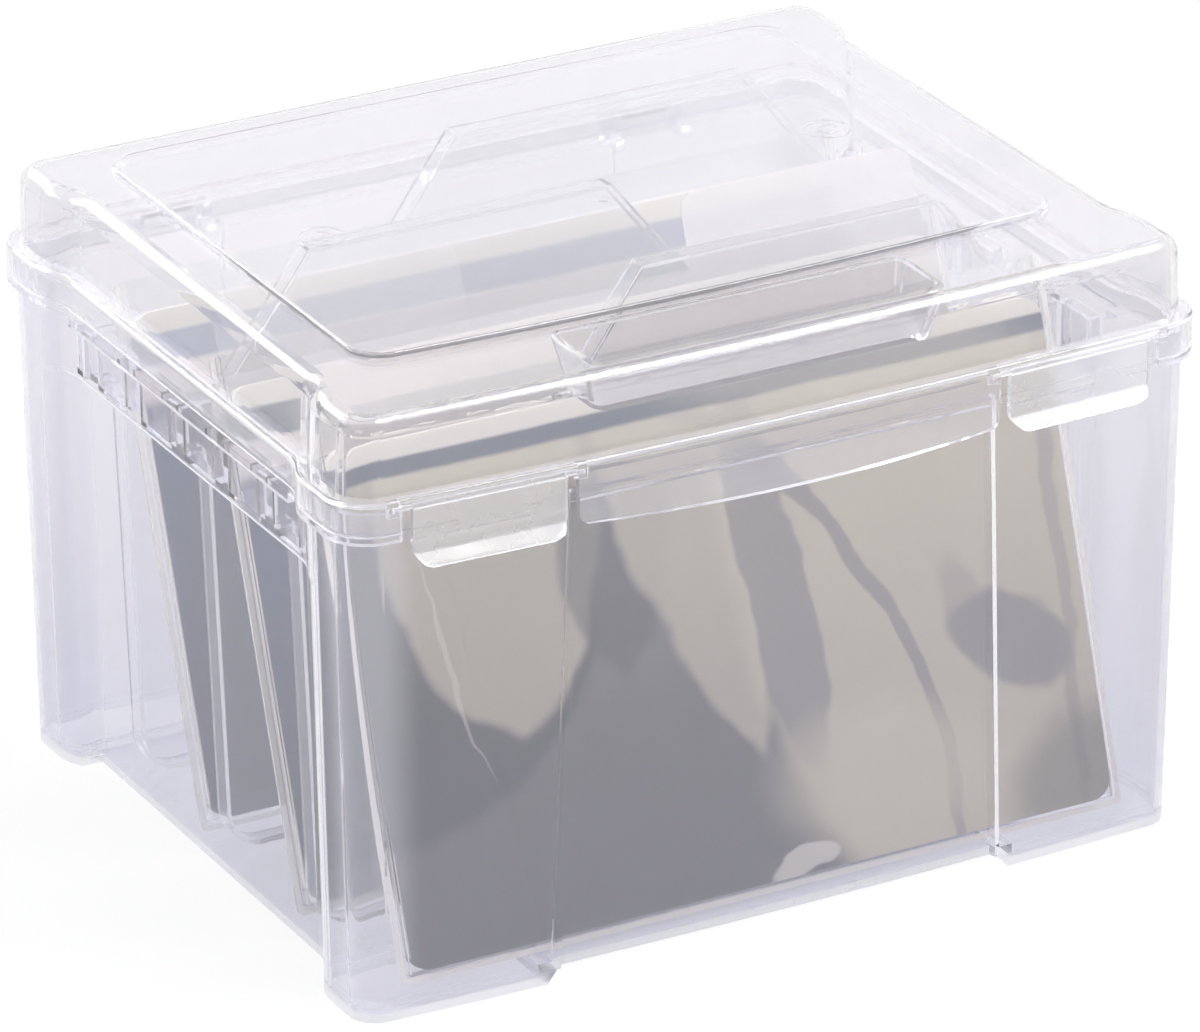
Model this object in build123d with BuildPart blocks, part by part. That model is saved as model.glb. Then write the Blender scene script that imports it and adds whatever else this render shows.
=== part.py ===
"""A clear hinged storage box for sleeved cards, in millimetres.

The box stands on z = 0 with its front towards minus y. The origin is under the middle of the box.
"""
from build123d import *
from math import asin, cos, radians, sin, sqrt, tan
import os

os.makedirs("parts", exist_ok=True)

# Plan of the box, taken at the outer face of the flange that runs round the rim
box_width = 260.0
box_depth = 212.0
front_bow = 3.6
corner_radius = 13.0
waist_inset = 4.1
waist_setback = 31.5
waist_run = 17.5

# Heights of the tub
foot_height = 3.9
floor_thickness = 2.0
tub_wall = 2.0
base_inset = 4.9
rim_inset = 2.8
side_panel_top = 120.8
side_panel_depth = 1.8
side_panel_ramp = 1.3
flange_bottom = 140.0
flange_height = 2.0
side_flange_drop = 2.8
rim_height = 147.6

# Recessed centre panel of the front and back walls
centre_panel_depth = 2.0
centre_panel_ramp = 0.6
centre_panel_inside_lip = 1.9
centre_panel_spread = 5.2

# Feet
foot_width = 59.0
foot_depth = 32.0
foot_slant = 3.0

# Lid
skirt_gap = 0.2
skirt_wall = 1.6
lid_wall = 1.8
ridge_height = 151.7
ridge_radius = 1.0
lid_inset = 3.8
lid_draft = 0.8
lid_top = 173.0
shoulder_radius = 5.0
raised_panel_side_margin = 24.5
raised_panel_front_margin = 36.8
raised_panel_back_margin = 19.6
raised_panel_bow = 3.6
raised_panel_height = 2.0
raised_panel_radius = 10.0
raised_panel_edge = 1.0

# Finger pocket in the lid, between the raised panel and the front shoulder
pocket_half = 52.0
pocket_front_margin = 9.5
pocket_reach = 22.5
pocket_depth = 13.0
pocket_taper = 3.0
pocket_radius = 3.0

# Moulding marks on the raised panel
ring_mark_inside_panel = 27.9
ring_mark_y = 8.0
ring_mark_radius = 6.5
ring_mark_line = 0.5
gate_mark_y = -6.0
gate_mark_radius = 1.5
mark_height = 0.25

# Pull lip at the middle of the lid's front edge
lip_end_gap = 0.2
lip_bottom = 134.2
lip_flare = 5.5
lip_corner = 3.0

# Latches and the bays that they hang in
bay_setback = 16.2
bay_width = 50.4
bay_headroom = 0.4
latch_side_gap = 3.2
latch_thickness = 1.6
latch_set_back = 0.2
latch_hub_radius = 1.2
latch_axis_height = 148.9
latch_bottom = 132.2
latch_grip_start = 135.6
latch_grip_reach = 2.6
latch_grip_edge = 1.3
latch_corner = 5.5
latch_pin_radius = 0.7
latch_pin_reach = 2.0
latch_pin_clearance = 0.08
socket_width = 3.2
catch_depth = 0.3
catch_height = 1.6
catch_clearance = 0.2
latch_rear_gap = 0.4
rim_behind_latch = 2.4

# Lid hinge at the back
hinge_setback = 55.0
hinge_axis_out = 4.5
hinge_axis_height = 141.0
hinge_lug_radius = 4.2
hinge_lug_thickness = 3.0
hinge_knuckle_radius = 3.8
hinge_knuckle_length = 18.0
hinge_pin_radius = 1.7
hinge_pin_clearance = 0.08
hinge_side_gap = 0.3
hinge_arm_gap = 0.7

# Comb of slots inside each side wall, for the dividers
comb_end = 12.95
slot_count = 5
slot_width = 8.0
comb_shift = 7.0
comb_tail = 5.0
comb_depth = 4.5
comb_wall = 1.5
comb_bottom = 121.6
comb_top = 138.0

# Dividers
divider_sheet = 1.4
divider_rim = 1.5
divider_depth = 6.0
divider_wall_gap = 0.7
divider_comb_gap = 2.3
divider_floor_gap = 0.1
divider_shoulder = 137.0
divider_ear_bottom = 122.4
divider_foot_radius = 11.0
divider_ear_radius = 3.5
tab_height = 171.6
tab_inner = 10.0
tab_outer = 82.0
tab_slope = 0.78
tab_radius = 7.0
divider_lean = radians(4)

# Card packs: a clear sleeve with sealed edges, and a stiff card in it
pack_foot_room = 6.0
pack_side_gap = 6.3
pack_side_shift = 4.5
pack_floor_gap = 0.1
pack_divider_gap = 0.3
pack_front_gap = 1.5
sleeve_mouth = 9.1
sleeve_side_clearance = 0.2
sleeve_skin = 0.5
sleeve_seal = 2.3
sleeve_seal_thickness = 0.9
sleeve_corner = 2.0
card_thickness = 2.6
card_height = 140.0
card_clearance = 0.1
card_corner = 6.0

# Two tabbed index cards behind the middle pack
index_thickness = 0.6
index_gap = 0.1
index_shoulder = 146.0
index_tab_top = 167.5
index_tab_inner = 34.0
index_tab_setback = 1.5
index_corner = 6.0
index_shoulder_radius = 0.7

flange_top = flange_bottom + flange_height
skirt_bottom = flange_top + skirt_gap
floor_top = foot_height + floor_thickness
waist_middle = box_depth / 2 - waist_setback
waist_start = waist_middle + waist_run / 2
waist_end = waist_middle - waist_run / 2
panel_waist = waist_inset + side_panel_depth
catch_top = flange_bottom - catch_clearance
bow_radius = ((box_width / 2) ** 2 + front_bow ** 2) / (2 * front_bow)
slot_pitch = 2 * (waist_end - comb_end) / (slot_count - 1)
slots = [slot_pitch * i - (waist_end - comb_end) + comb_shift for i in range(slot_count)]
bay_outer = box_width / 2 - bay_setback
bay_inner = bay_outer - bay_width
bay_middle = (bay_inner + bay_outer) / 2
latch_half = bay_width / 2 - latch_side_gap
lip_half = bay_inner - lip_end_gap
centre_panel_top_half = lip_half - centre_panel_inside_lip
centre_panel_base_half = centre_panel_top_half + centre_panel_spread
foot_front_half = box_width / 2 - foot_width
foot_side_half = box_depth / 2 - foot_depth
raised_panel_half = box_width / 2 - raised_panel_side_margin
raised_panel_front = box_depth / 2 - raised_panel_front_margin
raised_panel_back = box_depth / 2 - raised_panel_back_margin
pocket_front = box_depth / 2 - pocket_front_margin
pocket_back = pocket_front - pocket_reach
ring_mark_x = raised_panel_half - ring_mark_inside_panel
hinge_axis_y = box_depth / 2 + hinge_axis_out
hinge_places = [-box_width / 2 + hinge_setback, box_width / 2 - hinge_setback]


def wall_inset(height):
    """Inset of the tub's outer face from the flange at a height, with the draft of the walls."""
    return base_inset + (rim_inset - base_inset) * min(height / flange_bottom, 1.0)


def centre_half(height):
    """Half width of the recessed centre panel at a height."""
    return centre_panel_base_half + (centre_panel_top_half - centre_panel_base_half) * height / flange_bottom


def front_line(x, inset=0.0):
    """y of the bowed front at x, moved inward by an inset: one circle for each inset."""
    return bow_radius - box_depth / 2 - front_bow - sqrt((bow_radius - inset) ** 2 - x ** 2)


def bowed_edge(x_from, x_to, inset=0.0):
    """Piece of the bowed front between two places across the box."""
    middle = (x_from + x_to) / 2
    points = [(x, front_line(x, inset)) for x in (x_from, middle, x_to)]
    return ThreePointArc(*points)


def waist_side(side, inset, waist):
    """One side of the plan: straight at the posts, with an S curve into the waist and out again."""
    half = box_width / 2 - inset
    outer = side * half
    inner = side * (half - waist)
    between = (outer + inner) / 2
    front_post = Line((outer, front_line(half, inset)), (outer, -waist_start))
    leave = TangentArc(front_post @ 1, (between, -waist_middle), tangent=(0, 1))
    enter = TangentArc(leave @ 1, (inner, -waist_end), tangent=leave % 1)
    middle = Line(enter @ 1, (inner, waist_end))
    rise = TangentArc(middle @ 1, (between, waist_middle), tangent=(0, 1))
    join = TangentArc(rise @ 1, (outer, waist_start), tangent=rise % 1)
    Line(join @ 1, (outer, box_depth / 2 - inset))


def plan(inset, waist=waist_inset, panel=None):
    """Plan outline moved inward by an inset, as a face at z = 0.

    With a panel, the middle of the front and of the back is set in by the centre panel's depth.
    """
    half = box_width / 2 - inset
    back = box_depth / 2 - inset
    with BuildSketch(mode=Mode.PRIVATE) as outline:
        with BuildLine():
            if panel is None:
                bowed_edge(-half, half, inset)
                Line((half, back), (-half, back))
            else:
                ramp = panel + centre_panel_ramp
                left = bowed_edge(-half, -ramp, inset)
                middle = bowed_edge(-panel, panel, inset + centre_panel_depth)
                right = bowed_edge(ramp, half, inset)
                Line(left @ 1, middle @ 0)
                Line(middle @ 1, right @ 0)
                deep = back - centre_panel_depth
                Polyline((half, back), (ramp, back), (panel, deep), (-panel, deep), (-ramp, back), (-half, back))
            waist_side(1, inset, waist)
            waist_side(-1, inset, waist)
        make_face()
        posts = [v for v in outline.vertices() if abs(v.Y) > waist_start + 1]
        corners = [v for v in posts if abs(abs(v.X) - half) < 0.01]
        fillet(corners, radius=corner_radius - inset)
    return outline.sketch_local


def tub_section(height, extra=0.0, waist=waist_inset):
    """Plan of the tub's wall at a height, moved inward by an extra amount."""
    outline = plan(wall_inset(height) + extra, waist, centre_half(height) + extra)
    return Plane.XY.offset(height) * outline


def plan_section(height, inset):
    """Plain plan outline at a height."""
    return Plane.XY.offset(height) * plan(inset)


def pocket_section(height, grow, shrink):
    """Rounded outline of the finger pocket at a height, grown by a wall and shrunk by its taper."""
    width = 2 * (pocket_half + grow - shrink)
    depth = pocket_front - pocket_back + 2 * (grow - shrink)
    with BuildSketch(Plane.XY.offset(height)) as section:
        with Locations((0, -(pocket_back + pocket_front) / 2)):
            RectangleRounded(width, depth, pocket_radius + grow)
    return section.sketch


def raised_outline(inset):
    """Outline of the raised panel of the lid, moved inward by an inset, as a face at z = 0."""
    half = raised_panel_half - inset
    front = -(raised_panel_front - inset)
    back = raised_panel_back - inset
    with BuildSketch(mode=Mode.PRIVATE) as outline:
        with BuildLine():
            ThreePointArc((-half, front), (0, front - raised_panel_bow), (half, front))
            Polyline((half, front), (half, back), (-half, back), (-half, front))
        make_face()
        fillet(outline.vertices(), radius=raised_panel_radius - inset)
    return outline.sketch_local


# Places shared by the tub, the lid and the latches
lug_offset = hinge_knuckle_length / 2 + hinge_side_gap + hinge_lug_thickness / 2
lug_places = [x + side * lug_offset for x in hinge_places for side in (-1, 1)]
ledge_bottom = ridge_height - lid_wall
comb_inner_half = box_width / 2 - wall_inset(comb_bottom) - tub_wall - waist_inset



def latch_frame(side):
    """Middle of a latch's place on the front, and the directions across and outward there."""
    start, stop = [side * (bay_middle + end * latch_half) for end in (-side, side)]
    left = Vector(start, front_line(start), 0)
    right = Vector(stop, front_line(stop), 0)
    across = (right - left).normalized()
    return (left + right) * 0.5, across, Vector(across.Y, -across.X, 0)


def latch_section(side):
    """Plane square to a latch's pin, with x outward and y up."""
    origin, across, outward = latch_frame(side)
    return Plane(origin=origin, x_dir=outward, z_dir=-across)


def latch_front(side):
    """Plane of a latch's front view, with x across and y up."""
    origin, across, outward = latch_frame(side)
    return Plane(origin=origin, x_dir=across, z_dir=outward)


# Tub: one moulding with feet at its corners, waisted sides, a flange and hinge lugs at the back
with BuildPart() as tub:
    lower = tub_section(0, 0, panel_waist)
    upper = tub_section(side_panel_top - side_panel_ramp, 0, panel_waist)
    loft([lower, upper], ruled=True)
    lower = tub_section(side_panel_top - side_panel_ramp, 0, panel_waist)
    upper = tub_section(side_panel_top, 0, waist_inset)
    loft([lower, upper], ruled=True)
    lower = tub_section(side_panel_top, 0, waist_inset)
    upper = tub_section(flange_bottom, 0, waist_inset)
    loft([lower, upper], ruled=True)
    # Arches between the feet, along both directions
    with BuildSketch(Plane.XZ):
        with BuildLine():
            Polyline((-foot_front_half, 0), (foot_front_half, 0), (foot_front_half - foot_slant, foot_height),
                     (-foot_front_half + foot_slant, foot_height), close=True)
        make_face()
    extrude(amount=box_depth, both=True, mode=Mode.SUBTRACT)
    with BuildSketch(Plane.YZ):
        with BuildLine():
            Polyline((-foot_side_half, 0), (foot_side_half, 0), (foot_side_half - foot_slant, foot_height),
                     (-foot_side_half + foot_slant, foot_height), close=True)
        make_face()
    extrude(amount=box_width, both=True, mode=Mode.SUBTRACT)
    # Flange, set back behind the latches and the lip, and deeper along the waisted sides
    extrude(plan_section(flange_bottom, 0), amount=flange_height)
    set_back = plan(rim_behind_latch)
    with BuildSketch(Plane.XY.offset(flange_bottom)):
        with Locations((0, -box_depth / 2)):
            Rectangle(2 * bay_outer, 4 * corner_radius)
        add(set_back, mode=Mode.SUBTRACT)
    extrude(amount=flange_height, mode=Mode.SUBTRACT)
    flange_outline = plan(0)
    with BuildSketch(Plane.XY.offset(flange_bottom - side_flange_drop)):
        add(flange_outline)
        Rectangle(box_width, 2 * waist_end, mode=Mode.INTERSECT)
    extrude(amount=side_flange_drop)
    extrude(plan_section(flange_top, rim_inset), amount=rim_height - flange_top)
    # Inside
    lower = tub_section(floor_top, tub_wall, panel_waist)
    upper = tub_section(side_panel_top - side_panel_ramp, tub_wall, panel_waist)
    loft([lower, upper], ruled=True, mode=Mode.SUBTRACT)
    lower = tub_section(side_panel_top - side_panel_ramp, tub_wall, panel_waist)
    upper = tub_section(side_panel_top, tub_wall, waist_inset)
    loft([lower, upper], ruled=True, mode=Mode.SUBTRACT)
    lower = tub_section(side_panel_top, tub_wall, waist_inset)
    upper = tub_section(flange_top, tub_wall, waist_inset)
    loft([lower, upper], ruled=True, mode=Mode.SUBTRACT)
    extrude(plan_section(flange_top, rim_inset + tub_wall), amount=rim_height - flange_top, mode=Mode.SUBTRACT)
    # Hollows of the feet
    foot_hollow = plan(base_inset + tub_wall, panel_waist, centre_panel_base_half + tub_wall)
    with BuildSketch(Plane.XY.offset(floor_thickness)):
        add(foot_hollow)
        Rectangle(2 * (foot_front_half + tub_wall), box_depth, mode=Mode.SUBTRACT)
        Rectangle(box_width, 2 * (foot_side_half + tub_wall), mode=Mode.SUBTRACT)
    extrude(amount=foot_height, mode=Mode.SUBTRACT)
    # Comb of divider slots inside the side walls: hollow blocks between the slots
    edges = [-waist_end] + [s + side * slot_width / 2 for s in slots for side in (-1, 1)]
    edges += [edges[-1] + comb_tail]
    for start, stop in zip(edges[0::2], edges[1::2]):
        middle = (start + stop) / 2
        for side in (-1, 1):
            with BuildSketch(Plane.XY.offset(comb_bottom)):
                with Locations((side * (comb_inner_half - comb_depth / 2 + tub_wall / 4), middle)):
                    Rectangle(comb_depth + tub_wall / 2, stop - start)
            extrude(amount=comb_top - comb_bottom)
            with BuildSketch(Plane.XY.offset(comb_bottom + comb_wall)):
                with Locations((side * (comb_inner_half - (comb_depth - comb_wall) / 2), middle)):
                    Rectangle(comb_depth - comb_wall, stop - start - 2 * comb_wall)
            extrude(amount=comb_top - comb_bottom, mode=Mode.SUBTRACT)
    # Hinge lugs
    for x in lug_places:
        with BuildSketch(Plane.YZ.offset(x)):
            with Locations((hinge_axis_y, hinge_axis_height)):
                Circle(hinge_lug_radius)
            with BuildLine():
                Polyline((box_depth / 2 - rim_inset - tub_wall / 2, hinge_axis_height - hinge_lug_radius),
                         (hinge_axis_y, hinge_axis_height - hinge_lug_radius), (hinge_axis_y, flange_top),
                         (box_depth / 2 - rim_inset - tub_wall / 2, flange_top), close=True)
            make_face()
            with Locations((hinge_axis_y, hinge_axis_height)):
                Circle(hinge_pin_radius + hinge_pin_clearance, mode=Mode.SUBTRACT)
        extrude(amount=hinge_lug_thickness / 2, both=True)

tub.part.label = "tub"
export_step(tub.part, "parts/tub.step")

# Space under the lid, left after its walls and the walls of the finger pocket
with BuildPart() as lid_hollow:
    lower = plan_section(ledge_bottom, lid_inset + lid_wall)
    upper = plan_section(lid_top - lid_wall, lid_inset + lid_wall + lid_draft)
    loft([lower, upper], ruled=True)
    fillet(lid_hollow.edges().group_by(Axis.Z)[-1], radius=shoulder_radius - lid_wall)
    raised_inside = raised_outline(lid_wall)
    with BuildSketch(Plane.XY.offset(lid_top - lid_wall)):
        add(raised_inside)
    extrude(amount=raised_panel_height)
    lower = pocket_section(lid_top - lid_wall, lid_wall, 0)
    upper = pocket_section(lid_top - pocket_depth - lid_wall, lid_wall, pocket_taper)
    loft([lower, upper], ruled=True, mode=Mode.SUBTRACT)

# Skirt of the lid and the ledge at its top, with a bay for each latch
with BuildPart() as skirt:
    extrude(plan_section(skirt_bottom, 0), amount=ridge_height - skirt_bottom)
    fillet(skirt.edges().group_by(Axis.Z)[-1], radius=ridge_radius)
    extrude(plan_section(skirt_bottom, skirt_wall), amount=ledge_bottom - skirt_bottom, mode=Mode.SUBTRACT)
    bay_back = plan(2 * latch_hub_radius + latch_rear_gap)
    with BuildSketch(Plane.XY.offset(skirt_bottom)):
        for side in (-1, 1):
            with Locations((side * bay_middle, -box_depth / 2)):
                Rectangle(bay_width, 4 * corner_radius)
        add(bay_back, mode=Mode.SUBTRACT)
    bay_top = latch_axis_height + latch_hub_radius + bay_headroom
    extrude(amount=bay_top - skirt_bottom, mode=Mode.SUBTRACT)
    # Socket bosses at the ends of each bay, bored for the pins of the latch
    boss_back = plan(2 * latch_hub_radius + latch_rear_gap / 2)
    boss_front = plan(skirt_wall / 2)
    with BuildSketch(Plane.XY.offset(latch_axis_height - 2 * latch_hub_radius)):
        add(boss_front)
        add(boss_back, mode=Mode.SUBTRACT)
        with Locations(*[(side * (bay_middle + end * (bay_width + socket_width) / 2), -box_depth / 2)
                         for side in (-1, 1) for end in (-1, 1)]):
            Rectangle(socket_width, 4 * corner_radius, mode=Mode.INTERSECT)
    extrude(amount=ledge_bottom + lid_wall / 2 - (latch_axis_height - 2 * latch_hub_radius))
    for side in (-1, 1):
        with BuildSketch(latch_section(side)):
            with Locations((-latch_hub_radius, latch_axis_height)):
                Circle(latch_pin_radius + latch_pin_clearance)
        pin_bore = bay_width / 2 + latch_pin_reach + latch_pin_clearance
        extrude(amount=pin_bore, both=True, mode=Mode.SUBTRACT)

# Lid: one moulding with a skirt, a rounded shoulder, a raised panel, a pull lip and hinge knuckles
with BuildPart() as lid:
    lower = plan_section(ledge_bottom, lid_inset)
    upper = plan_section(lid_top, lid_inset + lid_draft)
    loft([lower, upper], ruled=True)
    fillet(lid.edges().group_by(Axis.Z)[-1], radius=shoulder_radius)
    raised_outside = raised_outline(0)
    with BuildSketch(Plane.XY.offset(lid_top)):
        add(raised_outside)
    extrude(amount=raised_panel_height)
    fillet(lid.edges().group_by(Axis.Z)[-1], radius=raised_panel_edge)
    lower = pocket_section(lid_top + raised_panel_height, 0, -pocket_taper * raised_panel_height / pocket_depth)
    upper = pocket_section(lid_top - pocket_depth, 0, pocket_taper)
    loft([lower, upper], ruled=True, mode=Mode.SUBTRACT)
    add(skirt.part)
    add(lid_hollow.part, mode=Mode.SUBTRACT)
    # Pull lip, flared out in the middle
    with BuildSketch(Plane.XY.offset(skirt_bottom)):
        with BuildLine():
            outer = bowed_edge(-lip_half, lip_half)
            inner = bowed_edge(-lip_half, lip_half, skirt_wall)
            Line(outer @ 0, inner @ 0)
            Line(outer @ 1, inner @ 1)
        make_face()
    with BuildSketch(Plane.XY.offset(lip_bottom)):
        with BuildLine():
            side_line = front_line(lip_half)
            crest = front_line(0) - lip_flare
            outer = ThreePointArc((-lip_half, side_line), (0, crest), (lip_half, side_line))
            inner = ThreePointArc((-lip_half, side_line + skirt_wall), (0, crest + skirt_wall),
                                  (lip_half, side_line + skirt_wall))
            Line(outer @ 0, inner @ 0)
            Line(outer @ 1, inner @ 1)
        make_face()
    loft(ruled=True)
    lip_ends = [e for e in lid.edges() if abs(e.center().Z - lip_bottom) < 0.01 and e.length < 2 * skirt_wall]
    fillet(lip_ends, radius=lip_corner)
    # Hinge knuckles and their pins
    arm_root = box_depth / 2 - skirt_wall / 2
    arm_bottom = skirt_bottom + hinge_arm_gap
    knuckle_side = hinge_knuckle_radius * sin(radians(45))
    for x in hinge_places:
        with BuildSketch(Plane.YZ.offset(x)):
            with Locations((hinge_axis_y, hinge_axis_height)):
                Circle(hinge_knuckle_radius)
            with BuildLine():
                Polyline((arm_root, arm_bottom), (box_depth / 2 + hinge_arm_gap, arm_bottom),
                         (hinge_axis_y, hinge_axis_height),
                         (hinge_axis_y + knuckle_side, hinge_axis_height + knuckle_side),
                         (arm_root, ridge_height - ridge_radius), close=True)
            make_face()
        extrude(amount=hinge_knuckle_length / 2, both=True)
        with BuildSketch(Plane.YZ.offset(x)):
            with Locations((hinge_axis_y, hinge_axis_height)):
                Circle(hinge_pin_radius)
        extrude(amount=hinge_knuckle_length / 2 + hinge_side_gap + hinge_lug_thickness, both=True)
    # Moulding marks on the raised panel: two ring marks and the gate mark
    with BuildSketch(Plane.XY.offset(lid_top + raised_panel_height)):
        with Locations((-ring_mark_x, ring_mark_y), (ring_mark_x, ring_mark_y)):
            for radius in (ring_mark_radius, ring_mark_radius / 2):
                Circle(radius)
                Circle(radius - ring_mark_line, mode=Mode.SUBTRACT)
        with Locations((0, gate_mark_y)):
            Circle(gate_mark_radius)
    extrude(amount=mark_height)

lid.part.label = "lid"
export_step(lid.part, "parts/lid.step")

# Latches: a plate on a rounded hub with end pins, a catch bead inside and a flared finger grip
for side, name in ((-1, "latch_left"), (1, "latch_right")):
    with BuildPart() as latch:
        face = -latch_set_back
        rear = face - latch_thickness
        grip_outer = face + latch_grip_reach
        with BuildSketch(latch_section(side)):
            with BuildLine():
                Polyline((face, latch_axis_height), (face, latch_grip_start),
                         (grip_outer, latch_bottom + latch_grip_edge), (grip_outer, latch_bottom),
                         (grip_outer - latch_grip_edge, latch_bottom), (rear, latch_grip_start),
                         (rear, catch_top - catch_height), (rear - catch_depth, catch_top - catch_height / 2),
                         (rear, catch_top), (rear, latch_axis_height), close=True)
            make_face()
            with Locations((-latch_hub_radius, latch_axis_height)):
                Circle(latch_hub_radius)
        extrude(amount=latch_half, both=True)
        with BuildSketch(latch_front(side)) as front_view:
            with BuildLine():
                top = latch_axis_height + latch_hub_radius
                Polyline((-latch_half, latch_bottom), (latch_half, latch_bottom), (latch_half, top),
                         (-latch_half, top), close=True)
            make_face()
            fillet(front_view.vertices().group_by(Axis.Y)[0], radius=latch_corner)
        extrude(amount=2 * latch_grip_reach, both=True, mode=Mode.INTERSECT)
        with BuildSketch(latch_section(side)):
            with Locations((-latch_hub_radius, latch_axis_height)):
                Circle(latch_pin_radius)
        extrude(amount=bay_width / 2 + latch_pin_reach, both=True)
    latch.part.label = name
    export_step(latch.part, f"parts/{name}.step")


divider_base = floor_top + divider_floor_gap
comb_middle = (comb_bottom + comb_top) / 2


def divider_reach(height):
    """Distance up a leaning divider's back face at which its front face is at a height."""
    return (height - divider_base - divider_depth * sin(divider_lean)) / cos(divider_lean)


def divider_face(slot_y, height, side):
    """y of a leaning divider's front (-1) or back (1) face at a height."""
    return slot_y + side * divider_depth / (2 * cos(divider_lean)) + (height - comb_middle) * tan(divider_lean)


def divider_outline(tab_left, tab_right):
    """Front view of a divider: plate, ears for the comb and a tab, from its foot upward."""
    plate_half = comb_inner_half - comb_depth - divider_comb_gap
    ear_half = comb_inner_half - divider_wall_gap
    ear_bottom, shoulder, tab_top = [divider_reach(h) for h in (divider_ear_bottom, divider_shoulder, tab_height)]
    slope = tab_slope * (tab_top - shoulder)
    with BuildSketch(mode=Mode.PRIVATE) as outline:
        with BuildLine():
            Polyline((-plate_half, 0), (plate_half, 0), (plate_half, ear_bottom), (ear_half, ear_bottom),
                     (ear_half, shoulder), (tab_right + slope, shoulder), (tab_right, tab_top), (tab_left, tab_top),
                     (tab_left - slope, shoulder), (-ear_half, shoulder), (-ear_half, ear_bottom),
                     (-plate_half, ear_bottom), close=True)
        make_face()
        levels = outline.vertices().group_by(Axis.Y)
        shoulders = levels[-2].sort_by(Axis.X)
        fillet(levels[0], radius=divider_foot_radius)
        fillet(levels[-1] + shoulders[1:3], radius=tab_radius)
        fillet([shoulders[0], shoulders[3]], radius=divider_ear_radius)
    return outline.sketch_local


# Dividers: a sheet at the front with a rim round its outline, and the tab at the left or the right
places = (slots[0], slots[slot_count // 2], slots[-1])
leaning_front = (0, -cos(divider_lean), sin(divider_lean))
for name, slot_y in zip(("divider_front", "divider_middle", "divider_back"), places):
    if name == "divider_middle":
        outline = divider_outline(-tab_outer, tab_inner)
    else:
        outline = divider_outline(-tab_inner, tab_outer)
    foot = (0, divider_face(slot_y, divider_base, 1), divider_base)
    back_plane = Plane(origin=foot, x_dir=(1, 0, 0), z_dir=leaning_front)
    with BuildPart() as divider:
        with BuildSketch(back_plane):
            add(outline)
        extrude(amount=divider_depth)
        with BuildSketch(back_plane):
            add(outline)
            offset(amount=-divider_rim, mode=Mode.REPLACE)
        extrude(amount=divider_depth - divider_sheet, mode=Mode.SUBTRACT)
    divider.part.label = name
    export_step(divider.part, f"parts/{name}.step")


pack_half = box_width / 2 - wall_inset(floor_top) - tub_wall - panel_waist - pack_side_gap
pack_foot = floor_top + pack_floor_gap
card_width = 2 * (pack_half - sleeve_seal - sleeve_skin - sleeve_side_clearance)
card_foot = sleeve_seal + sleeve_skin + card_clearance
sleeve_height = card_foot + card_height + sleeve_mouth
sleeve_thickness = card_thickness + 2 * (sleeve_skin + card_clearance)

# Lean of the packs: as far as the space between two dividers and the space behind the front wall allow
middle_span = 2 * slot_pitch * cos(divider_lean) - divider_depth - pack_divider_gap - pack_foot_room
front_wall_inside = front_line(centre_half(floor_top), wall_inset(floor_top) + tub_wall + centre_panel_depth)
front_rest = divider_face(slots[0], pack_foot + sleeve_height, -1) - pack_divider_gap
front_span = front_rest - sleeve_thickness - pack_front_gap - front_wall_inside
pack_lean = min(divider_lean + asin(middle_span / index_tab_top), asin(front_span / sleeve_height))


def pack_plane(slot_y, reach, shift):
    """Leaning back plane of a pack whose highest piece has a reach up the slope, with z forward."""
    rest = divider_face(slot_y, pack_foot + reach * cos(pack_lean), -1) - pack_divider_gap
    origin = (-shift, rest - reach * sin(pack_lean), pack_foot)
    return Plane(origin=origin, x_dir=(1, 0, 0), z_dir=(0, -cos(pack_lean), sin(pack_lean)))


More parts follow.
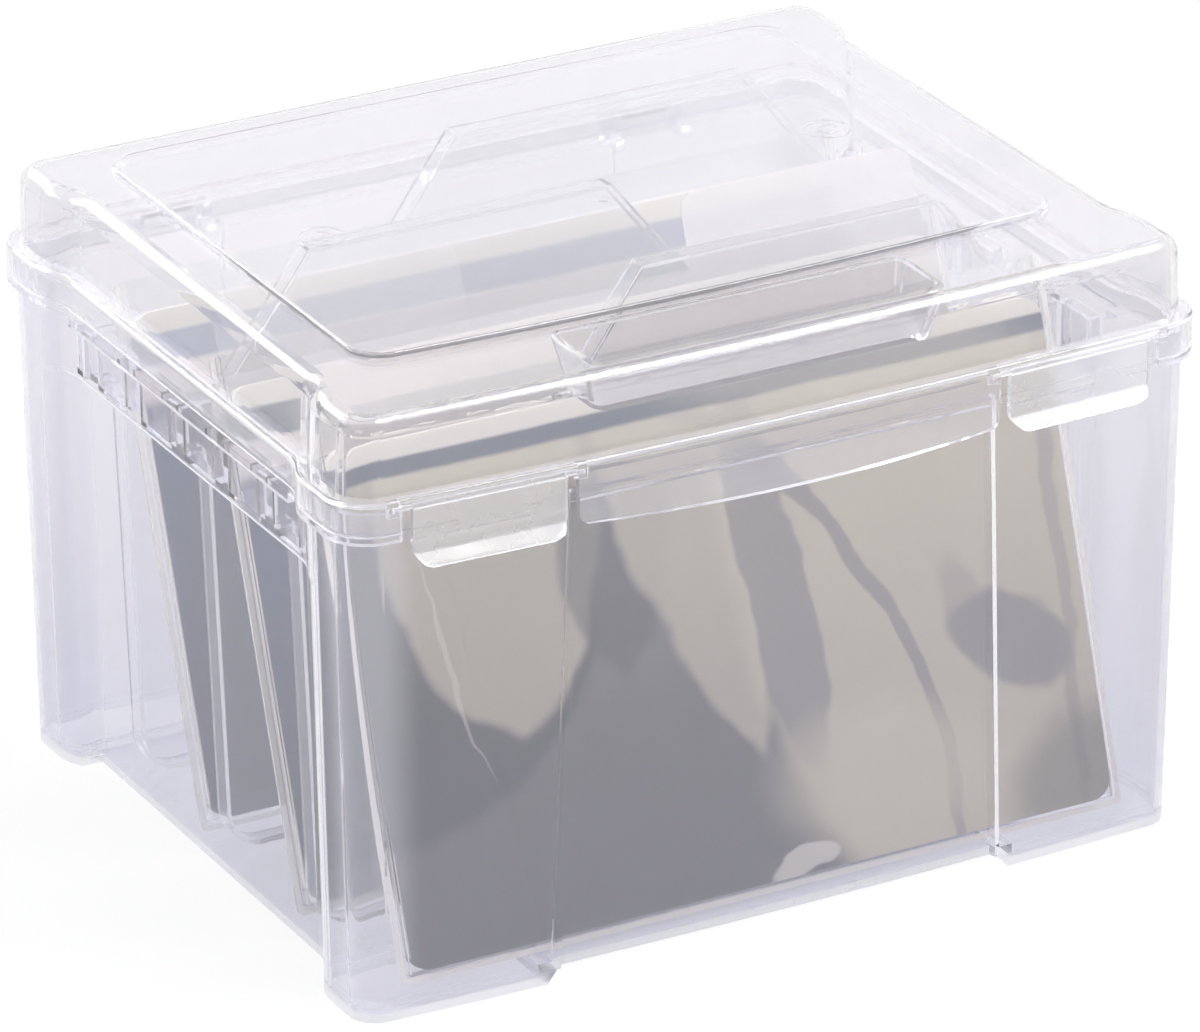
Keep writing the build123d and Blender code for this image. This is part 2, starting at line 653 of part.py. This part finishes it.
# Card packs: each a sleeve with a card in it; the middle pack also has two index cards behind it
for name, slot_y in zip(("front", "middle", "back"), places):
    index_names = ("index_card_left", "index_card_right") if name == "middle" else ()
    shift = 0 if name == "front" else pack_side_shift
    back_plane = pack_plane(slot_y, index_tab_top if index_names else sleeve_height, shift)
    sleeve_back = len(index_names) * (index_thickness + index_gap)
    with BuildPart() as sleeve:
        with BuildSketch(back_plane.offset(sleeve_back + (sleeve_thickness - sleeve_seal_thickness) / 2)):
            with Locations((0, sleeve_height / 2)):
                RectangleRounded(2 * pack_half, sleeve_height, sleeve_corner)
        extrude(amount=sleeve_seal_thickness)
        with BuildSketch(back_plane.offset(sleeve_back)):
            with Locations((0, (sleeve_height + sleeve_seal) / 2)):
                Rectangle(2 * (pack_half - sleeve_seal), sleeve_height - sleeve_seal)
        extrude(amount=sleeve_thickness)
        inset = sleeve_seal + sleeve_skin
        with BuildSketch(back_plane.offset(sleeve_back + sleeve_skin)):
            with Locations((0, (sleeve_height + inset) / 2)):
                Rectangle(2 * (pack_half - inset), sleeve_height - inset)
        extrude(amount=sleeve_thickness - 2 * sleeve_skin, mode=Mode.SUBTRACT)
    sleeve.part.label = f"sleeve_{name}"
    export_step(sleeve.part, f"parts/sleeve_{name}.step")
    with BuildPart() as card:
        with BuildSketch(back_plane.offset(sleeve_back + sleeve_skin + card_clearance)):
            with Locations((0, card_foot + card_height / 2)):
                RectangleRounded(card_width, card_height, card_corner)
        extrude(amount=card_thickness)
    card.part.label = f"card_{name}"
    export_step(card.part, f"parts/card_{name}.step")
    for index_name in index_names:
        depth_in_stack = index_names.index(index_name) * (index_thickness + index_gap)
        half = card_width / 2
        tab_ends = sorted([index_tab_inner, half - index_tab_setback])
        if index_name == "index_card_left":
            tab_left, tab_right = -tab_ends[1], -tab_ends[0]
        else:
            tab_left, tab_right = tab_ends
        with BuildPart() as index_card:
            with BuildSketch(back_plane.offset(depth_in_stack)) as index_outline:
                with BuildLine():
                    Polyline((-half, 0), (half, 0), (half, index_shoulder), (tab_right, index_shoulder),
                             (tab_right, index_tab_top), (tab_left, index_tab_top), (tab_left, index_shoulder),
                             (-half, index_shoulder), close=True)
                make_face()
                fillet(index_outline.vertices().group_by(Axis.Y)[-1], radius=index_corner)
                shoulders = index_outline.vertices().group_by(Axis.Y)[1]
                fillet(shoulders, radius=index_shoulder_radius)
            extrude(amount=index_thickness)
        index_card.part.label = index_name
        export_step(index_card.part, f"parts/{index_name}.step")
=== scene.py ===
"""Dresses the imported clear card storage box: its plastics, sleeves and cards, and the studio round it."""

from math import atan2, cos, radians, sin

import bpy
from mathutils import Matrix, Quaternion, Vector


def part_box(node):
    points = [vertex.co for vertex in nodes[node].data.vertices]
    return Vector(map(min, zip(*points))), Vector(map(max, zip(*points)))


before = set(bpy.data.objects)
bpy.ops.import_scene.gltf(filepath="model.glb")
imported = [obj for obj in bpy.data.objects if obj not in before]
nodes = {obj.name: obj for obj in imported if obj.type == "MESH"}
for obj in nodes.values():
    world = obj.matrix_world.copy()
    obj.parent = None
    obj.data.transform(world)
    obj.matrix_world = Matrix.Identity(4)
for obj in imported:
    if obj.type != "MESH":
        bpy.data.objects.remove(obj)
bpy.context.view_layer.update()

# Tub: one injection moulding in a clear plastic with a faint lilac tint, polished except under
# its feet, which are finely textured. Its wide thin walls are never quite flat, so reflections in
# them bend a little, and its thick corner posts look milkier.


class Wiring:
    """Adds nodes to a shader node tree and joins them."""

    def __init__(self, tree):
        self.tree = tree

    def feed(self, node, feeds):
        """Feeds a node's inputs, each given by its name or number, from an output or with a value."""
        for label, value in feeds.items():
            if isinstance(value, bpy.types.NodeSocket):
                self.tree.links.new(value, node.inputs[label])
            else:
                node.inputs[label].default_value = value
        return node

    def add(self, kind, feeds=None):
        """Adds a node of one kind and feeds its inputs."""
        return self.feed(self.tree.nodes.new(kind), feeds or {})

    def use(self, group, feeds):
        """Places a node group with its own values, and gives its outputs."""
        node = self.tree.nodes.new("ShaderNodeGroup")
        node.node_tree = group
        return self.feed(node, feeds).outputs

    def math(self, operation, first, second=0.0, clamp=False):
        """Works out a number from one or two others."""
        node = self.add("ShaderNodeMath", {0: first, 1: second})
        node.operation = operation
        node.use_clamp = clamp
        return node.outputs[0]

    def ramp(self, value, start, end, low=0.0, high=1.0, interpolation="LINEAR"):
        """Goes from low to high while the value goes from start to end."""
        node = self.add("ShaderNodeMapRange", {"Value": value, "From Min": start, "From Max": end,
                                               "To Min": low, "To Max": high})
        node.interpolation_type = interpolation
        return node.outputs["Result"]

    def mix(self, share, first, second):
        """Mixes two colours."""
        node = self.tree.nodes.new("ShaderNodeMix")
        node.data_type = "RGBA"
        return self.feed(node, {"Factor": share, "A": first, "B": second}).outputs["Result"]

    def place(self):
        """Place on the piece in its own space, in metres."""
        return self.add("ShaderNodeTexCoord").outputs["Object"]

    def axes(self, vector):
        """X, Y and Z of a vector."""
        return self.add("ShaderNodeSeparateXYZ", {"Vector": vector}).outputs


def new_group(name, inputs, outputs):
    """Starts a node group: its inputs with their usual values, and its outputs with their kinds."""
    wiring = Wiring(bpy.data.node_groups.new(name, "ShaderNodeTree"))
    for label, value in inputs.items():
        kind = "NodeSocketVector" if isinstance(value, tuple) else "NodeSocketFloat"
        wiring.tree.interface.new_socket(label, in_out="INPUT", socket_type=kind).default_value = value
    for label, kind in outputs.items():
        wiring.tree.interface.new_socket(label, in_out="OUTPUT", socket_type=kind)
    return wiring, wiring.add("NodeGroupInput").outputs, wiring.add("NodeGroupOutput")


def moulded_wall_group():
    """Slow waves and uneven polish of a thin moulded wall, as a normal and a roughness."""
    inputs = {"Wave Scale": 18.0, "Wave Height": 0.1, "Dullness": 0.03}
    outputs = {"Normal": "NodeSocketVector", "Roughness": "NodeSocketFloat"}
    wiring, given, results = new_group("moulded_wall", inputs, outputs)
    place = wiring.place()
    waves = wiring.add("ShaderNodeTexNoise", {"Vector": place, "Scale": given["Wave Scale"], "Detail": 1.0})
    bump = wiring.add("ShaderNodeBump", {"Strength": given["Wave Height"], "Distance": 0.002,
                                         "Height": waves.outputs["Fac"]})
    wear = wiring.add("ShaderNodeTexNoise", {"Vector": place, "Scale": 60.0, "Detail": 4.0})
    roughness = wiring.math("MULTIPLY", wear.outputs["Fac"], given["Dullness"])
    wiring.feed(results, {"Normal": bump.outputs["Normal"], "Roughness": roughness})
    return wiring.tree


moulded_wall = moulded_wall_group()


class Finish(Wiring):
    """A material: its Principled shader, and the shader on top of it, which the surface shows."""

    def __init__(self, name):
        self.material = bpy.data.materials.new(name)
        self.material.use_nodes = True
        super().__init__(self.material.node_tree)
        self.shader = self.tree.nodes["Principled BSDF"]
        self.top = self.shader.outputs["BSDF"]

    def cover(self, share, over):
        """Covers a share of the shader on top with another one."""
        mix = self.add("ShaderNodeMixShader", {"Fac": share, 1: self.top, 2: over})
        self.top = mix.outputs["Shader"]
        self.feed(self.tree.nodes["Material Output"], {"Surface": self.top})

    def veil(self, mask, colour, amount):
        """Lays a milky veil over the material where the mask is, amount thick."""
        milky = self.add("ShaderNodeBsdfPrincipled", {"Base Color": (*colour, 1), "Roughness": 0.35})
        self.cover(self.math("MULTIPLY", mask, amount), milky.outputs["BSDF"])

    def dress(self, *names):
        """Gives CAD nodes this material."""
        for name in names:
            nodes[name].data.materials.clear()
            nodes[name].data.materials.append(self.material)


class ClearPlastic(Finish):
    """Clear plastic: clarity is how much of the light it lets through, dullness how far it is from
    fully polished, and shade how it tints its shadow.

    Light that has turned many times inside the thin walls leaves them straight, so edges stay pale.
    """

    def __init__(self, name, tint, clarity, dullness, wave_scale=18.0, wave_height=0.1,
                 shade=(0.96, 0.96, 0.98)):
        super().__init__(name)
        self.wall = self.use(moulded_wall, {"Wave Scale": wave_scale, "Wave Height": wave_height,
                                            "Dullness": dullness})
        self.feed(self.shader, {"Base Color": (*tint, 1), "IOR": 1.46, "Transmission Weight": clarity,
                                "Normal": self.wall["Normal"], "Roughness": self.wall["Roughness"]})
        rays = self.add("ShaderNodeLightPath").outputs
        straight = rays["Is Shadow Ray"]
        for depth, most in (("Ray Depth", 8.5), ("Glossy Depth", 1.5)):
            straight = self.math("MAXIMUM", straight, self.math("GREATER_THAN", rays[depth], most))
        passed = self.add("ShaderNodeBsdfTransparent", {"Color": (*shade, 1)})
        self.cover(straight, passed.outputs["BSDF"])


foot_tint, rim_tint, rim_tint_height = (0.785, 0.782, 0.85), (0.87, 0.86, 0.9), 0.12
foot_dullness, foot_texture_fades = 0.4, (0.0035, 0.0045)
post_haze, post_fades_across, post_fades_back = 0.17, (0.106, 0.12), (0.084, 0.098)

tub_plastic = ClearPlastic("clear_tub_plastic", rim_tint, 0.965, 0.09)
across, back, up = tub_plastic.axes(tub_plastic.place())
# The tint darkens from the rim down toward the foot.
tint = tub_plastic.mix(tub_plastic.ramp(up, 0.0, rim_tint_height), (*foot_tint, 1), (*rim_tint, 1))
texture = tub_plastic.ramp(up, *foot_texture_fades, foot_dullness, 0.0)
roughness = tub_plastic.math("ADD", tub_plastic.wall["Roughness"], texture)
tub_plastic.feed(tub_plastic.shader, {"Base Color": tint, "Roughness": roughness})
near_side = tub_plastic.ramp(tub_plastic.math("ABSOLUTE", across), *post_fades_across,
                             interpolation="SMOOTHSTEP")
near_front_or_back = tub_plastic.ramp(tub_plastic.math("ABSOLUTE", back), *post_fades_back,
                                      interpolation="SMOOTHSTEP")
at_post = tub_plastic.math("MULTIPLY", near_side, near_front_or_back)
tub_plastic.veil(at_post, (0.88, 0.875, 0.93), post_haze)
tub_plastic.dress("tub")

# Lid and latches: the same clear plastic, moulded thinner. The lid is polished brighter than the
# tub, and its skirt and pull lip look a little milkier than its top. The two latches snap on to
# its front by their pins and are polished less.
skirt_fades = (0.15, 0.1512)
lid_haze, share_on_top = 0.1, 0.8

lid_plastic = ClearPlastic("clear_lid_plastic", (0.875, 0.868, 0.885), 0.97, 0.07, wave_scale=12.0)
up = lid_plastic.axes(lid_plastic.place())["Z"]
haze = lid_plastic.ramp(up, *skirt_fades, 1.0, share_on_top)
lid_plastic.veil(haze, (0.93, 0.92, 0.95), lid_haze)
lid_plastic.dress("lid")
latch_plastic = ClearPlastic("clear_latch_plastic", (0.98, 0.98, 0.99), 0.88, 0.5)
latch_plastic.dress("latch_left", "latch_right")

# Dividers: thin clear sheets with a rim round them and a tab at the top, moulded in one piece
# each, in a plastic that is a little greyer than the latches'.
divider_plastic = ClearPlastic("clear_divider_plastic", (0.95, 0.95, 0.97), 0.96, 0.05)
divider_plastic.dress("divider_front", "divider_middle", "divider_back")

# Cards: stiff printed cards, one in each sleeve, with a blue band along the top and a pale field
# over it. The front one has soft silvery grey and beige shapes on its face, and the two behind
# it are dark blue at the left, which is what shows through the side of the box.
navy, slate, dark_blue = (0.035, 0.065, 0.13), (0.3, 0.34, 0.48), (0.01, 0.035, 0.15)
silver, smoke, sand = (0.3, 0.29, 0.29), (0.096, 0.1, 0.118), (0.68, 0.62, 0.49)
cream, lilac = (0.85, 0.8, 0.72), (0.92, 0.83, 0.81)
cut_edge = 0.0003


def vector_math(wiring, operation, first, second=(0.0, 0.0, 0.0)):
    """Adds a node that works on one or two vectors."""
    node = wiring.add("ShaderNodeVectorMath", {0: first, 1: second})
    node.operation = operation
    return node.outputs


def turned(wiring, about, vector, angle):
    """Turns a vector about an axis."""
    node = wiring.tree.nodes.new("ShaderNodeVectorRotate")
    node.rotation_type = about
    return wiring.feed(node, {"Vector": vector, "Angle": angle}).outputs["Vector"]


def card_place_group():
    """Place on a leaning card: across from its middle and up its slope from its foot, in metres."""
    inputs = {"Foot": (0.0, 0.0, 0.0), "Lean": 0.0}
    outputs = {"Across": "NodeSocketFloat", "Up": "NodeSocketFloat", "Face": "NodeSocketVector",
               "Wavy Face": "NodeSocketVector"}
    wiring, given, results = new_group("card_place", inputs, outputs)
    from_foot = vector_math(wiring, "SUBTRACT", wiring.place(), given["Foot"])["Vector"]
    axes = wiring.axes(turned(wiring, "X_AXIS", from_foot, given["Lean"]))
    face = wiring.add("ShaderNodeCombineXYZ", {"X": axes["X"], "Y": axes["Z"]}).outputs["Vector"]
    waves = wiring.add("ShaderNodeTexNoise", {"Vector": face, "Scale": 28.0, "Detail": 3.0})
    centred = vector_math(wiring, "SUBTRACT", waves.outputs["Color"], (0.5, 0.5, 0.5))["Vector"]
    swing = vector_math(wiring, "MULTIPLY", centred, (0.016, 0.016, 0.0))["Vector"]
    wavy = vector_math(wiring, "ADD", swing, face)["Vector"]
    wiring.feed(results, {"Across": axes["X"], "Up": axes["Z"], "Face": face, "Wavy Face": wavy})
    return wiring.tree


def soft_step_group():
    """0 below a level and 1 above it, with a soft edge that wanders a little."""
    inputs = {"Value": 0.0, "Level": 0.0, "Softness": 0.001, "Wander": 0.0, "Face": (0.0, 0.0, 0.0)}
    wiring, given, results = new_group("soft_step", inputs, {"Mask": "NodeSocketFloat"})
    noise = wiring.add("ShaderNodeTexNoise", {"Vector": given["Face"], "Scale": 22.0, "Detail": 3.0})
    drift = wiring.math("MULTIPLY", noise.outputs["Fac"], given["Wander"])
    over = wiring.math("SUBTRACT", wiring.math("ADD", drift, given["Value"]), given["Level"])
    below = wiring.math("MULTIPLY", given["Softness"], -1.0)
    mask = wiring.ramp(over, below, given["Softness"], interpolation="SMOOTHSTEP")
    wiring.feed(results, {"Mask": mask})
    return wiring.tree


def soft_disc_group():
    """1 inside an ellipse on the card's face and 0 outside it, with a soft edge."""
    inputs = {"Face": (0.0, 0.0, 0.0), "Centre": (0.0, 0.0, 0.0), "Reach": (0.03, 0.03, 1.0),
              "Turn": 0.0, "Softness": 0.1}
    wiring, given, results = new_group("soft_disc", inputs, {"Mask": "NodeSocketFloat"})
    from_centre = vector_math(wiring, "SUBTRACT", given["Face"], given["Centre"])["Vector"]
    level = turned(wiring, "Z_AXIS", from_centre, given["Turn"])
    in_reaches = vector_math(wiring, "DIVIDE", level, given["Reach"])["Vector"]
    distance = vector_math(wiring, "LENGTH", in_reaches)["Value"]
    outer = wiring.math("ADD", 1.0, given["Softness"])
    wiring.feed(results, {"Mask": wiring.ramp(distance, 1.0, outer, 1.0, 0.0, "SMOOTHSTEP")})
    return wiring.tree


card_place = card_place_group()
soft_step = soft_step_group()
soft_disc = soft_disc_group()

widest = max(nodes["card_front"].data.polygons, key=lambda face: face.area)
card_lean = atan2(abs(widest.normal.z), abs(widest.normal.y))


def place_on(finish, name):
    """Place on a leaning card or sleeve, measured from the middle of its foot."""
    low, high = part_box(name)
    foot = ((low[0] + high[0]) / 2, low[1], low[2])
    return finish.use(card_place, {"Foot": foot, "Lean": card_lean})


class CardPrint(Finish):
    """Builds the print of one card: layers of colour over one another, each with a mask."""

    def __init__(self, name, node, colour, roughness=0.4):
        super().__init__(name)
        self.spot = place_on(self, node)
        self.feed(self.shader, {"Roughness": roughness})
        self.colour = (*colour, 1)

    def step(self, value, level, softness=0.001, wander=0.0):
        """Mask of the part of the card past a level across or up."""
        return self.use(soft_step, {"Value": self.spot[value], "Face": self.spot["Face"],
                                    "Level": level, "Softness": softness, "Wander": wander})["Mask"]

    def disc(self, centre, reach, turn=0.0, softness=0.1):
        """Mask of an ellipse: centre and half lengths on the face in metres, and its turn in degrees."""
        return self.use(soft_disc, {"Face": self.spot["Wavy Face"], "Centre": (*centre, 0.0),
                                    "Reach": (*reach, 1.0), "Turn": radians(-turn),
                                    "Softness": softness})["Mask"]

    def leaf(self, centre, half_width, half_length, turn=0.0, edge=0.004):
        """Mask of a leaf with pointed ends, where two large discs overlap, soft over the edge's length."""
        reach = half_length ** 2 / half_width
        radius, offset = (reach + half_width) / 2, (reach - half_width) / 2
        across, up = offset * cos(radians(turn)), offset * sin(radians(turn))
        sides = [self.disc((centre[0] + side * across, centre[1] + side * up), (radius, radius),
                           0.0, edge / radius) for side in (-1, 1)]
        return self.math("MULTIPLY", *sides, clamp=True)

    def lay(self, colour, mask, amount=1.0):
        """Lays a colour over the print so far where the mask is."""
        self.colour = self.mix(self.math("MULTIPLY", mask, amount), self.colour, (*colour, 1))
        self.feed(self.shader, {"Base Color": self.colour})

    def lay_band(self, blue, foot, top):
        """Lays a blue band with slightly wavy edges along the top, with a pale field over it."""
        self.lay(blue, self.step("Up", foot, 0.0008, 0.002))
        self.lay(cream, self.step("Up", top, 0.0006, 0.0015))


low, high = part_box("card_front")
print_start = cut_edge - (high[0] - low[0]) / 2

# Front card, from the ground up: smoke that pales toward the foot and the top, a dark round form
# at the left and a large beige one at the right, then leaves, an upright bar and a thin arc, then
# small marks along the foot and the right side, and last the band.
front = CardPrint("printed_card", "card_front", cream, roughness=0.35)
front.lay(smoke, front.step("Across", print_start, 0.0001))
front.lay(silver, front.disc((-0.01, -0.03), (0.125, 0.1), 8, 0.2), 0.42)
front.lay(silver, front.step("Up", 0.085, 0.03, 0.02), 0.8)
front.lay(smoke, front.disc((-0.1, 0.1), (0.0625, 0.0645), 0, 0.06), 0.85)
front.lay(sand, front.disc((0.062, 0.075), (0.052, 0.115), 10, 0.2), 0.82)
front.lay(sand, front.leaf((-0.066, 0.112), 0.03, 0.056, 2), 0.68)
front.lay(cream, front.leaf((-0.082, 0.078), 0.0005, 0.03, 12, 0.0004), 0.35)
front.lay(smoke, front.leaf((-0.03, 0.102), 0.014, 0.034, -4), 0.6)
front.lay(sand, front.leaf((-0.01, 0.11), 0.018, 0.074, 11), 0.66)
front.lay(silver, front.disc((0.015, 0.08), (0.0085, 0.05), 6, 0.2), 0.85)
ring_outside = front.disc((-0.05, 0.0), (0.1125, 0.145), 0, 0.012)
ring_inside = front.disc((-0.0535, -0.004), (0.1125, 0.145), 0, 0.012)
front.lay(silver, front.math("SUBTRACT", ring_outside, ring_inside, clamp=True), 0.85)
front.lay(sand, front.disc((0.041, 0.02), (0.02, 0.013), -10, 1.2), 0.7)
front.lay(cream, front.disc((0.011, 0.004), (0.009, 0.0035), 8, 0.3), 0.7)
front.lay(silver, front.disc((0.084, 0.05), (0.017, 0.0095), -42, 0.35), 0.9)
front.lay(silver, front.disc((0.073, 0.062), (0.004, 0.012), 20, 0.9), 0.4)
front.lay(silver, front.disc((0.102, 0.075), (0.0015, 0.05), -2, 1.2), 0.5)
front.lay(smoke, front.disc((0.1, 0.005), (0.016, 0.016), 0, 0.8), 0.5)
front.lay(sand, front.step("Up", 0.122, 0.004, 0.006), 0.7)
front.lay_band(navy, 0.132, 0.1365)
front.lay(sand, front.disc((0.045, 0.135), (0.035, 0.006), 0, 0.9), 0.4)
front.dress("card_front")

# The other two: dark blue that turns pale a short way in from the left, and over the top of the
# card. On the middle one the pale part covers its band as well.
for name, blue in (("card_middle", navy), ("card_back", slate)):
    dark = CardPrint(f"dark_{name}", name, cream)
    dark.lay(dark_blue, dark.step("Across", print_start, 0.0001))
    dark.lay(lilac, dark.step("Across", -0.075, 0.004, 0.006))
    dark.lay(lilac, dark.step("Up", 0.118, 0.002, 0.003))
    dark.lay_band(blue, 0.127, 0.1355)
    if name == "card_middle":
        dark.lay(lilac, dark.step("Across", -0.085, 0.008))
        dark.lay(cream, dark.step("Across", -0.035, 0.03, 0.02), 0.7)
    dark.dress(name)

# Sleeves: soft clear film, welded along its sides and foot and open at the top. It lies in
# loose waves over the card, and the welded strips turn a creamy white. The front sleeve's welds
# are whitened most, partly their own creamy white and partly a painted reflection.
side_weld, foot_weld = 0.0016, 0.002

# The front sleeve's larger weld whiteness is partly a painted reflection; the others' is the welds' own.
for name, weld_white_and_reflection in (("sleeve_front", 0.8), ("sleeve_middle", 0.3), ("sleeve_back", 0.3)):
    film = ClearPlastic(f"{name}_film", (0.98, 0.98, 0.98), 0.985, 0.08, wave_scale=25.0,
                        wave_height=0.35, shade=(0.98, 0.98, 0.98))
    spot = place_on(film, name)
    low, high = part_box(name)
    weld_start = (high[0] - low[0]) / 2 - side_weld
    at_side = film.math("GREATER_THAN", film.math("ABSOLUTE", spot["Across"]), weld_start)
    at_foot = film.math("LESS_THAN", spot["Up"], foot_weld)
    film.veil(film.math("MAXIMUM", at_side, at_foot), (0.97, 0.94, 0.86), weld_white_and_reflection)
    film.dress(name)

# Index cards: two thin sheets cut from frosted plastic, behind the middle pack, each with a tab
# at one end. The right one is frosted more, so its tab hides most of what stands behind it.
for name, thin, thick in (("index_card_left", 0.06, 0.14), ("index_card_right", 0.42, 0.56)):
    frosted = Finish(f"frosted_{name}")
    frosted.feed(frosted.shader, {"Base Color": (0.89, 0.865, 0.87, 1), "Roughness": 0.45})
    frosted.top = frosted.add("ShaderNodeBsdfTransparent").outputs["BSDF"]
    grain = frosted.add("ShaderNodeTexNoise", {"Scale": 900.0})
    frosting = frosted.ramp(grain.outputs["Fac"], 0.0, 1.0, thin, thick)
    frosted.cover(frosting, frosted.shader.outputs["BSDF"])
    frosted.dress(name)

# Floor and world: a white table in a white room. What the camera sees directly, in a
# reflection or through the plastic is white, dimmer only toward the front where the room is
# open, and the table keeps the box's faint shadow.
floor_half, floor_white = 20.0, 0.87
front_of_room, dims_from, dims_to, dim_white = (-0.4, -0.75, 0.53), 0.25, 0.75, 0.42
room_light = 0.5


def seen_directly(wiring):
    """1 for camera, glossy and transmission rays, and 0 for the rays that light the box."""
    rays = wiring.add("ShaderNodeLightPath").outputs
    seen = wiring.math("MAXIMUM", rays["Is Camera Ray"], rays["Is Glossy Ray"])
    return wiring.math("MAXIMUM", seen, rays["Is Transmission Ray"])


floor_mesh = bpy.data.meshes.new("floor")
floor_mesh.from_pydata([(-floor_half, -floor_half, 0), (floor_half, -floor_half, 0),
                        (floor_half, floor_half, 0), (-floor_half, floor_half, 0)], [], [(0, 1, 2, 3)])
floor = bpy.data.objects.new("floor", floor_mesh)
bpy.context.scene.collection.objects.link(floor)
floor_paint = Finish("floor_paint")
floor_paint.feed(floor_paint.shader, {"Base Color": (0.95, 0.95, 0.95, 1), "Roughness": 0.9})
white_share = floor_paint.math("MULTIPLY", seen_directly(floor_paint), floor_white)
floor_paint.cover(white_share, floor_paint.add("ShaderNodeEmission").outputs["Emission"])
floor.data.materials.append(floor_paint.material)

world = bpy.data.worlds.new("studio")
bpy.context.scene.world = world
world.use_nodes = True
studio = Wiring(world.node_tree)
way = studio.add("ShaderNodeTexCoord").outputs["Generated"]
toward_front = vector_math(studio, "DOT_PRODUCT", way, front_of_room)["Value"]
white = studio.ramp(toward_front, dims_from, dims_to, 1.0, dim_white, "SMOOTHSTEP")
strength = studio.ramp(seen_directly(studio), 0.0, 1.0, room_light, white)
studio.feed(world.node_tree.nodes["Background"], {"Color": (1, 1, 1, 1), "Strength": strength})

# Lamps: a soft box overhead draws the bright line along the front of the lid, a wider one behind
# at the left the line along its left shoulder, and a weak one at the front left fills.
box_middle = Vector((0, 0, 0.08))

for name, place, size, power in (("overhead", (0.9, -0.35, 1.75), (1.0, 0.8), 26.0),
                                 ("behind", (-0.8, 1.55, 1.1), (2.0, 0.6), 17.0),
                                 ("fill", (-1.6, -1.2, 0.9), (1.0, 1.0), 8.0)):
    lamp = bpy.data.lights.new(name, "AREA")
    lamp.shape = "RECTANGLE"
    lamp.size, lamp.size_y = size
    lamp.energy = power
    holder = bpy.data.objects.new(name, lamp)
    holder.location = place
    holder.rotation_euler = (box_middle - Vector(place)).to_track_quat("-Z", "Y").to_euler()
    bpy.context.scene.collection.objects.link(holder)

# Camera: a long lens 2.4 m away at the front left, looking down at the middle of the box by
# about 25 degrees, and rolled by a quarter of a degree.
aim, roll = Vector((0.00194, 0, 0.07858)), radians(-0.244)

camera_data = bpy.data.cameras.new("camera")
camera_data.sensor_width = 36.0
camera_data.lens = 260.68
camera_data.clip_start, camera_data.clip_end = 0.1, 50.0
camera = bpy.data.objects.new("camera", camera_data)
camera.location = (-1.0334, -1.8997, 1.0722)
camera.rotation_mode = "QUATERNION"
camera.rotation_quaternion = (aim - camera.location).to_track_quat("-Z", "Y") @ Quaternion((0, 0, 1), roll)
bpy.context.scene.collection.objects.link(camera)
bpy.context.scene.camera = camera
bpy.context.scene.view_settings.view_transform = "Standard"
